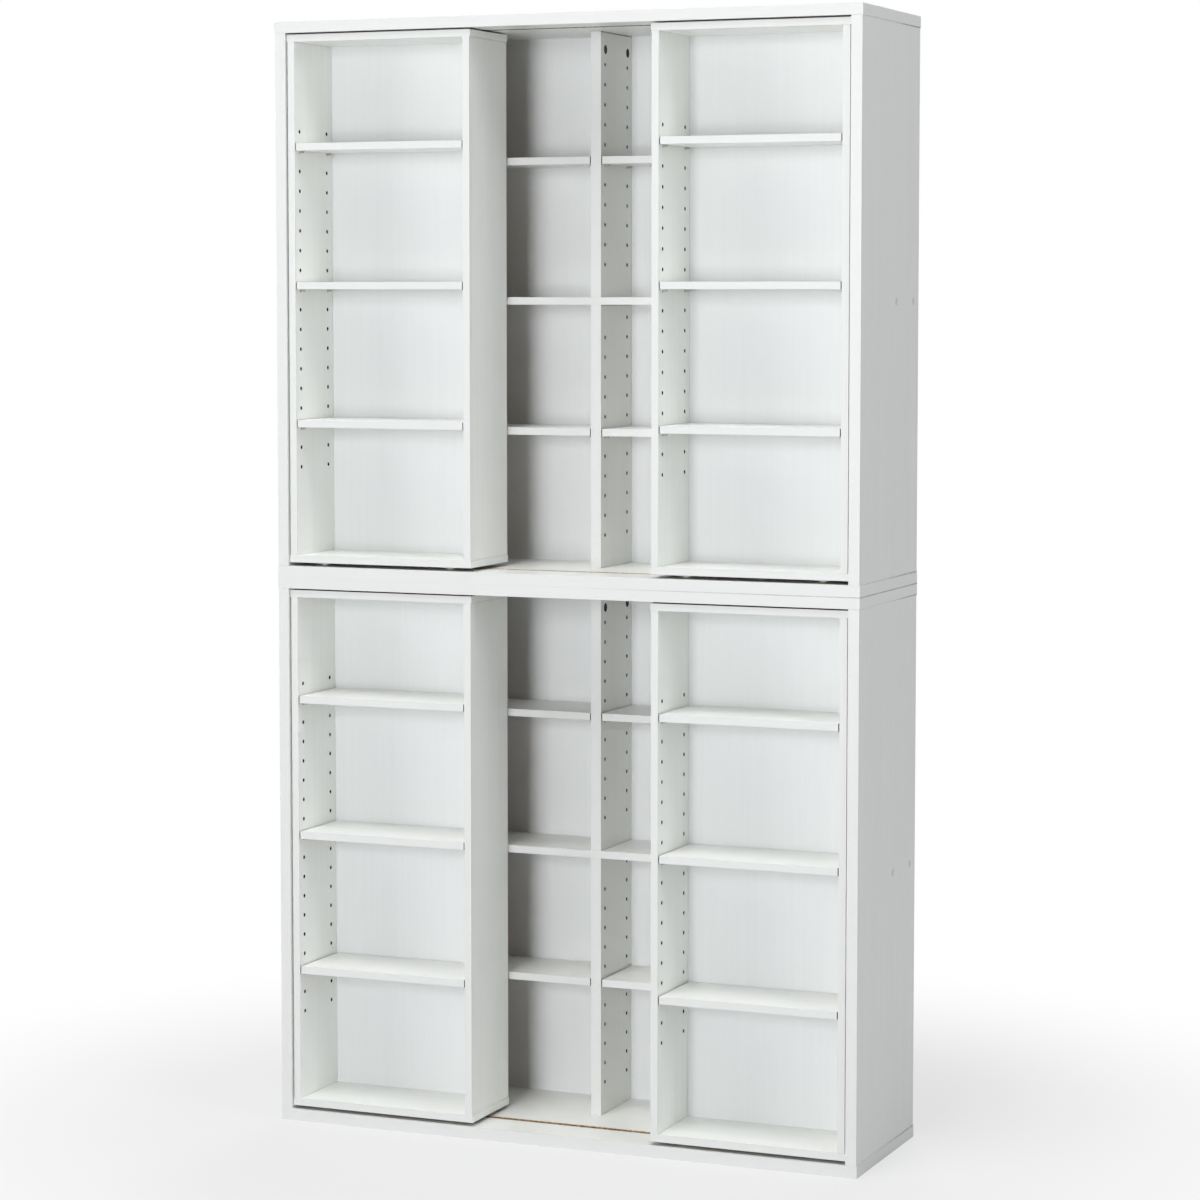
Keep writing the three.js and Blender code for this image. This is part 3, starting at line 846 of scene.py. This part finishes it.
def given_material(tree, geometry, material, mark=None):
    inputs = {"Geometry": geometry, "Material": material}
    if mark:
        named = add(tree, "GeometryNodeInputNamedAttribute", {"Name": mark}, data_type="BOOLEAN")
        inputs["Selection"] = named.outputs[0]
    return add(tree, "GeometryNodeSetMaterial", inputs).outputs[0]


def joined(tree, shapes):
    node = tree.nodes.new("GeometryNodeJoinGeometry")
    for shape in shapes:
        tree.links.new(shape, node.inputs[0])
    return node.outputs[0]


def grown(name, tree, spots, body):
    """A plain mesh from the tree on these spots (place, facing), riding on the body."""
    mesh = bpy.data.meshes.new(name + "_spots")
    mesh.from_pydata([place for place, _ in spots], [], [])
    facing = mesh.attributes.new("facing", "FLOAT_VECTOR", "POINT")
    facing.data.foreach_set("vector", [v for _, way in spots for v in way])
    seed = bpy.data.objects.new(name + "_spots", mesh)
    bpy.context.scene.collection.objects.link(seed)
    seed.modifiers.new("grow", "NODES").node_group = tree
    evaluated = seed.evaluated_get(bpy.context.evaluated_depsgraph_get())
    made = bpy.data.meshes.new_from_object(evaluated)
    made.name = name
    bpy.data.objects.remove(seed)
    piece = bpy.data.objects.new(name, made)
    bpy.context.scene.collection.objects.link(piece)
    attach(piece, body)
    print(name, "on", body + ":", len(spots), "spots,", len(made.polygons), "faces")
    return piece


LEFT, RIGHT, BACK = (-1.0, 0.0, 0.0), (1.0, 0.0, 0.0), (0.0, 1.0, 0.0)

# %% [markdown]
# ## Where the pin holes are
#
# The holes stand 32 millimetres apart, in a front and a rear column on every inner face.
# The boards' own boxes say where the faces are, so only the columns and the first hole of
# each run are written here. A hole that holds a pin is left out of the list of open holes,
# because the pin's collar covers it. The partition's rear column has one hole more at the
# top of its lower run.

# %% Hole places
PITCH = 0.032
UNIT_LEVELS = {"lower": 0.0, "upper": 0.9}
RACK_COLUMNS = (-0.124, -0.0285)
RACK_FIRST, RACK_COUNT, RACK_PINS = 0.18015, 18, (2, 9, 16)
REAR_COLUMNS = (0.0237, 0.1175)
REAR_RUNS = {"below": 0.07175, "above": 0.50925}
REAR_COUNT, REAR_PINS = 11, (5,)
RACKS = [u + "_" + p + "_rack" for u in UNIT_LEVELS for p in ("left", "right")]

open_holes = {body: [] for body in frame["bodies"]}
pin_spots = {body: [] for body in frame["bodies"]}


def face_x(node, way):
    """How far to the right the left or right face of a node is."""
    low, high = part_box(node)
    return low.x if way == LEFT else high.x


def column(body, node, way, y, first, count, pins):
    """A column of holes in one face of a node. Those with the numbers in pins hold a pin."""
    x = face_x(node, way)
    for i in range(count):
        spot = ((x, y, first + i * PITCH), way)
        (pin_spots if i in pins else open_holes)[body].append(spot)


for rack in RACKS:
    level = UNIT_LEVELS[rack.split("_")[0]]
    for node, way in ((rack + "_left_side", RIGHT), (rack + "_right_side", LEFT)):
        for y in RACK_COLUMNS:
            column(rack, node, way, y, level + RACK_FIRST, RACK_COUNT, RACK_PINS)

for unit, level in UNIT_LEVELS.items():
    case = unit + "_case_"
    wall = case + "partition_above"
    faces = [(case + "left_side", RIGHT), (wall, LEFT), (wall, RIGHT), (case + "right_side", LEFT)]
    for node, way in faces:
        for y in REAR_COLUMNS:
            for first in REAR_RUNS.values():
                column("cases", node, way, y, level + first, REAR_COUNT, REAR_PINS)
    spare = level + REAR_RUNS["below"] + REAR_COUNT * PITCH
    for way in (LEFT, RIGHT):
        column("cases", wall, way, REAR_COLUMNS[1], spare, 1, ())
print("open holes:", {b: len(s) for b, s in open_holes.items()})
print("pins:", {b: len(s) for b, s in pin_spots.items()})

# %% [markdown]
# ## Drilled holes
#
# In the CAD a hole is a plain six-sided pocket. On top of it comes what the eye expects:
# a round mouth, a narrow ring of raw board where the bit broke the paper, a round wall
# of raw board and a bottom. The wall and the bottom face into the hole, so the wall of
# the cylinder is turned inside out. Ring, wall and bottom are darkened nearly to black
# with painted shade, the shade deep inside a narrow hole.


# %% Tree: drilled hole
def hole_tree():
    sizes = [
        ("Radius", 0.0024),
        ("Broken ring", 0.0007),
        ("Mouth width", 0.0006),
        ("Mouth height", 0.00004),
        ("Depth", 0.0074),
        ("Sides", 16),
    ]
    tree, given, out = new_tree("Drilled hole", sizes)
    sides, radius, depth = given["Sides"], given["Radius"], given["Depth"]
    inputs = {"Vertices": sides, "Radius": radius, "Depth": depth}
    wall = add(tree, "GeometryNodeMeshCylinder", inputs, fill_type="NONE").outputs[0]
    wall = moved_up(tree, wall, times(tree, depth, -0.5))
    wall = add(tree, "GeometryNodeFlipFaces", {0: wall}).outputs[0]
    inputs = {"Vertices": sides, "Radius": radius}
    bottom = add(tree, "GeometryNodeMeshCircle", inputs, fill_type="NGON").outputs[0]
    bottom = moved_up(tree, bottom, times(tree, depth, -1.0))
    broken = maths(tree, "ADD", radius, given["Broken ring"])
    outer = maths(tree, "ADD", broken, given["Mouth width"])
    half = times(tree, given["Mouth height"], 0.5)
    torn = disc(tree, sides, broken, radius, half, half, fill="NONE")
    mouth = disc(tree, sides, outer, broken, half, fill="NONE")
    raw = marked(tree, joined(tree, [wall, bottom, torn]), "raw")
    holes = set_on_points(tree, given["Points"], joined(tree, [raw, mouth]))
    white = given_material(tree, holes, CAP_PLASTIC)
    tree.links.new(given_material(tree, white, DRILLED, "raw"), out[0])
    return tree


DRILLED_HOLE = hole_tree()
for body, spots in open_holes.items():
    grown(body + "_pin_holes", DRILLED_HOLE, spots, body)

# %% [markdown]
# ## Shelf pins
#
# Every loose shelf lies on four short steel pins. A pin has a thin collar that stops it
# at the board's face, a round stem under the shelf and a chamfered end. Three discs on
# one axis make it: the stem, and a tip and a collar that taper.


# %% Tree: shelf pin
TIP_TAPER, TIP_LENGTH, COLLAR_TAPER = 0.72, 0.24, 0.93


def pin_tree():
    sizes = [
        ("Radius", 0.00256),
        ("Length", 0.0076),
        ("Collar radius", 0.0036),
        ("Collar height", 0.0009),
        ("Sides", 16),
    ]
    tree, given, out = new_tree("Shelf pin", sizes)
    sides, radius, length = given["Sides"], given["Radius"], given["Length"]
    stem = disc(tree, sides, radius, radius, length)
    tip = disc(tree, sides, radius, times(tree, radius, TIP_TAPER), times(tree, radius, TIP_LENGTH), length)
    collar_top = times(tree, given["Collar radius"], COLLAR_TAPER)
    collar = disc(tree, sides, given["Collar radius"], collar_top, given["Collar height"])
    pins = set_on_points(tree, given["Points"], joined(tree, [stem, tip, collar]))
    tree.links.new(given_material(tree, pins, NICKEL), out[0])
    return tree


SHELF_PIN = pin_tree()
for body, spots in pin_spots.items():
    grown(body + "_shelf_pins", SHELF_PIN, spots, body)

# %% [markdown]
# ## Caps over the shelf screws
#
# The fixed shelf is screwed through both sides of the case. A thin white cap hides each
# screw and stands a third of a millimetre proud of the side, so it is no more than a faint
# disc.


# %% Tree: cap
CAP_ROWS = (0.030, 0.117)
CAP_TAPER = 0.9


def cap_tree():
    sizes = [("Radius", 0.0062), ("Height", 0.0003), ("Sides", 32)]
    tree, given, out = new_tree("Screw cap", sizes)
    sides, radius = given["Sides"], given["Radius"]
    half = times(tree, given["Height"], 0.5)
    foot = disc(tree, sides, radius, radius, half)
    top = disc(tree, sides, radius, times(tree, radius, CAP_TAPER), half, half)
    caps = set_on_points(tree, given["Points"], joined(tree, [foot, top]))
    tree.links.new(given_material(tree, caps, CAP_PLASTIC), out[0])
    return tree


def middle_height(node):
    low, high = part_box(node)
    return (low.z + high.z) / 2


cap_spots = []
for unit in UNIT_LEVELS:
    case = unit + "_case_"
    z = middle_height(case + "fixed_shelf")
    for y in CAP_ROWS:
        for side, way in (("left_side", LEFT), ("right_side", RIGHT)):
            cap_spots.append(((face_x(case + side, way), y, z), way))
grown("screw_caps", cap_tree(), cap_spots, "cases")

# %% [markdown]
# ## Cam locks and panel screws
# Two cam locks in wide bores draw the partition up to the top board. The back panel is
# held to the fixed shelf and the partitions by small screws. Both are a round head with
# a cross slot, so one tree with different sizes makes them. The slot is painted shade: a
# dark cross that stands a hundredth of a millimetre or two above the head, where the
# slot's hollow would lie in shade.


# %% Tree: round head with a cross slot
CAM_ROWS = (0.0267, 0.1205)
CAM_BELOW_TOP = 0.0285
CAM_SUNK = 0.0105
CAM = {
    "Radius": 0.0070,
    "Top radius": 0.0068,
    "Height": 0.0088,
    "Slot length": 0.0070,
    "Slot width": 0.0012,
}
SCREW_COLUMNS = (-0.40, -0.20, 0.20, 0.40)
SCREW_HEIGHTS = (0.15, 0.30, 0.60, 0.75)
SCREW = {
    "Radius": 0.0036,
    "Top radius": 0.0022,
    "Height": 0.0017,
    "Slot length": 0.0030,
    "Slot width": 0.0007,
}


def head_tree(name, sizes, material):
    """A round head of these sizes, with two bars of painted shade for the cross of its slot."""
    shared_sizes = [("Slot height", 0.00003), ("Sides", 24)]
    tree, given, out = new_tree(name, [*sizes.items(), *shared_sizes])
    head = disc(tree, given["Sides"], given["Radius"], given["Top radius"], given["Height"])
    bars = []
    length, width, height = (given["Slot " + size] for size in ("length", "width", "height"))
    for long_way, short_way in ((0, 1), (1, 0)):
        inputs = {long_way: length, short_way: width, 2: height}
        size = add(tree, "ShaderNodeCombineXYZ", inputs).outputs[0]
        bar = add(tree, "GeometryNodeMeshCube", {"Size": size}).outputs[0]
        bars.append(moved_up(tree, bar, given["Height"]))
    slot = marked(tree, joined(tree, bars), "slot")
    heads = set_on_points(tree, given["Points"], joined(tree, [head, slot]))
    plain = given_material(tree, heads, material)
    tree.links.new(given_material(tree, plain, SLOT_SHADE, "slot"), out[0])
    return tree


cam_spots = []
for unit in UNIT_LEVELS:
    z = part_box(unit + "_case_top_board")[0].z - CAM_BELOW_TOP
    x = face_x(unit + "_case_partition_above", RIGHT) - CAM_SUNK
    cam_spots += [((x, y, z), RIGHT) for y in CAM_ROWS]
grown("cam_locks", head_tree("Cam lock", CAM, CAM_METAL_WITH_BORE_SHADE), cam_spots, "cases")

screw_spots = []
for unit, level in UNIT_LEVELS.items():
    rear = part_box(unit + "_case_back_panel")[1].y
    middle = middle_height(unit + "_case_fixed_shelf")
    screw_spots += [((x, rear, middle), BACK) for x in SCREW_COLUMNS]
    screw_spots += [((0.0, rear, level + z), BACK) for z in SCREW_HEIGHTS]
grown("panel_screws", head_tree("Panel screw", SCREW, NICKEL), screw_spots, "cases")

# %% [markdown]
# ## Floor and background
#
# The studio is white without an edge: near the object the floor is a pale surface that
# takes its shadow, and further out it fades into the same white as the background. Only
# the camera, glossy rays and rays through glass see that white, so the object mirrors it
# faintly and gets no other light from it.


# %% Floor and world
WHITE = (1.0, 1.0, 1.0, 1.0)
FLOOR_RADIUS, FLOOR_SIDES = 14.0, 96
FLOOR_LIGHT, FLOOR_DARK = paint(208, 208, 208), paint(203, 203, 203)
FLOOR_CLOUDS = dict(scale=3.0, detail=4.0)
FADE_START, FADE_END = 0.5, 1.5
FLOOR_WHITE = 0.66
ROOM_STRENGTH = 0.0


def seen_directly(tree):
    """1 for rays from the camera, from gloss and through glass, 0 for the rest."""
    rays = add(tree, "ShaderNodeLightPath").outputs
    gloss = maths(tree, "ADD", rays["Is Glossy Ray"], rays["Is Transmission Ray"], clamp=True)
    return maths(tree, "ADD", rays["Is Camera Ray"], gloss, clamp=True)


def mixed(tree, share, first, second):
    """The first shader where share is 0, the second where it is 1."""
    inputs = {0: share, 1: first.outputs[0], 2: second.outputs[0]}
    return add(tree, "ShaderNodeMixShader", inputs).outputs[0]


def make_floor():
    mesh = bpy.data.meshes.new("floor")
    shape = bmesh.new()
    bmesh.ops.create_circle(shape, cap_ends=True, segments=FLOOR_SIDES, radius=FLOOR_RADIUS)
    shape.to_mesh(mesh)
    shape.free()
    floor = bpy.data.objects.new("floor", mesh)
    bpy.context.scene.collection.objects.link(floor)
    material, tree = new_material("pale_floor")
    place = object_place(tree)
    colour = blend(tree, noise(tree, place, **FLOOR_CLOUDS), FLOOR_LIGHT, FLOOR_DARK)
    surface = add(tree, "ShaderNodeBsdfDiffuse", {"Color": colour})
    white = add(tree, "ShaderNodeEmission", {"Color": WHITE, "Strength": 1.0})
    away = add(tree, "ShaderNodeVectorMath", {0: place}, operation="LENGTH").outputs["Value"]
    share = times(tree, ramp(tree, away, FADE_START, FADE_END, FLOOR_WHITE), seen_directly(tree))
    add(tree, "ShaderNodeOutputMaterial", {"Surface": mixed(tree, share, surface, white)})
    mesh.materials.append(material)


def make_world():
    world = bpy.data.worlds.new("studio")
    bpy.context.scene.world = world
    world.use_nodes = True
    tree = world.node_tree
    tree.nodes.clear()
    room = add(tree, "ShaderNodeBackground", {"Color": WHITE, "Strength": ROOM_STRENGTH})
    white = add(tree, "ShaderNodeBackground", {"Color": WHITE, "Strength": 1.0})
    add(tree, "ShaderNodeOutputWorld", {"Surface": mixed(tree, seen_directly(tree), room, white)})


make_floor()
make_world()
print("floor radius", FLOOR_RADIUS, "m, white beyond", FADE_END, "m")

# %% [markdown]
# ## Studio light
#
# White furniture is lit with large soft boxes. The main one stands straight ahead, so
# the fronts are the brightest faces, and it is narrow enough to leave a deep shadow
# behind a rack. A box above the front lights what faces up, and the light that bounces
# from the shelves lifts the inner sides. Boxes at the left, at the right, high at the
# right and behind keep the other faces readable. The box behind is kept out of
# reflections: a side seen at a flat angle from the front would mirror it and turn white.

# %% Lamps
NEUTRAL, COOL = (1.0, 1.0, 1.0), (0.935, 0.97, 1.0)
NOT_REFLECTED = "rear_box"
# Each box has its place, its aim, its width and height, its watts and its colour.
LAMPS = {
    "main_box": ((0.22, -7.0, 1.3), (0.0, 0.0, 0.95), (1.8, 3.0), 292.0, NEUTRAL),
    "left_box": ((-4.979, -4.178, 1.9), (0.0, 0.0, 0.95), (2.2, 2.2), 84.0, NEUTRAL),
    "right_box": ((6.182, -2.009, 2.3), (0.0, 0.0, 0.95), (2.2, 2.2), 67.0, COOL),
    "high_right_box": ((3.4, -1.4, 4.6), (0.0, 0.0, 0.9), (2.0, 2.0), 50.0, COOL),
    "top_box": ((-0.38, -2.5, 6.6), (0.0, 0.0, 0.9), (1.9, 3.0), 200.0, NEUTRAL),
    "rear_box": ((-1.0, 5.5, 2.4), (0.0, 0.0, 0.9), (2.6, 2.6), 200.0, NEUTRAL),
}


def make_lamp(name, place, target, size, watts, colour):
    data = bpy.data.lights.new(name, "AREA")
    data.shape = "RECTANGLE"
    data.size, data.size_y = size
    data.energy = watts
    data.color = colour
    lamp = bpy.data.objects.new(name, data)
    bpy.context.scene.collection.objects.link(lamp)
    lamp.location = place
    lamp.rotation_mode = "QUATERNION"
    lamp.rotation_quaternion = (Vector(target) - Vector(place)).to_track_quat("-Z", "Y")
    return lamp


for lamp_name, facts in LAMPS.items():
    lamp = make_lamp(lamp_name, *facts)
    lamp.visible_glossy = lamp_name != NOT_REFLECTED
print("lamps:", {n: f[3] for n, f in LAMPS.items()})
